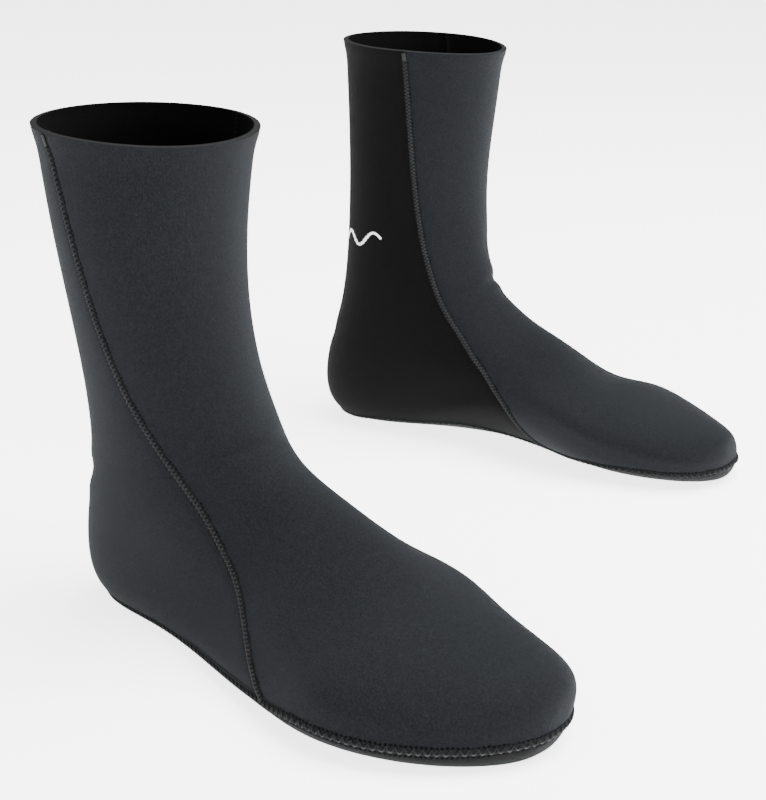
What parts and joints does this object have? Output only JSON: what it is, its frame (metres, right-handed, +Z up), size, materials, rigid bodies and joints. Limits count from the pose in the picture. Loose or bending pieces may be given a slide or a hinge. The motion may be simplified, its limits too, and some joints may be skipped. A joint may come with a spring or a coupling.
{
  "type": "neoprene boots",
  "caption": "Pair of ankle-high sock-style boots of thin foam rubber laminate with flat-stitched seams and no hard outsole.",
  "frame": {"origin": "on the floor under the middle of the pair's bounding box", "axes": "+X forward to the toes, halfway between the two boots' own directions; +Y to the wearer's left; +Z up"},
  "size_m": [0.3492, 0.4514, 0.2412],
  "materials": {
    "jersey_laminate": "foam rubber faced with matte knitted jersey",
    "sole_laminate": "foam rubber faced with matte, harder wearing knitted jersey",
    "thread": "grey textured sewing thread, slightly glossy",
    "print": "matte elastic white ink"
  },
  "bodies": {
    "right_boot": {"right_front_panel": "jersey_laminate", "right_back_panel": "jersey_laminate", "right_sole_panel": "sole_laminate", "right_outer_side_cover_stitch": "thread", "right_inner_side_cover_stitch": "thread", "right_sole_cover_stitch": "thread", "right_outer_side_looper_thread": "thread", "right_inner_side_looper_thread": "thread", "right_sole_looper_thread": "thread", "right_outer_side_bar_tack": "thread", "right_inner_side_bar_tack": "thread", "right_wave_print": "print"},
    "left_boot": {"left_front_panel": "jersey_laminate", "left_back_panel": "jersey_laminate", "left_sole_panel": "sole_laminate", "left_outer_side_cover_stitch": "thread", "left_inner_side_cover_stitch": "thread", "left_sole_cover_stitch": "thread", "left_outer_side_looper_thread": "thread", "left_inner_side_looper_thread": "thread", "left_sole_looper_thread": "thread", "left_outer_side_bar_tack": "thread", "left_inner_side_bar_tack": "thread", "left_wave_print": "print"}
  },
  "joints": [
    {"name": "left_boot_lift", "type": "slide", "parent": "right_boot", "child": "left_boot", "axis": [0, 0, 1], "range_m": [0, 0.4]}
  ]
}
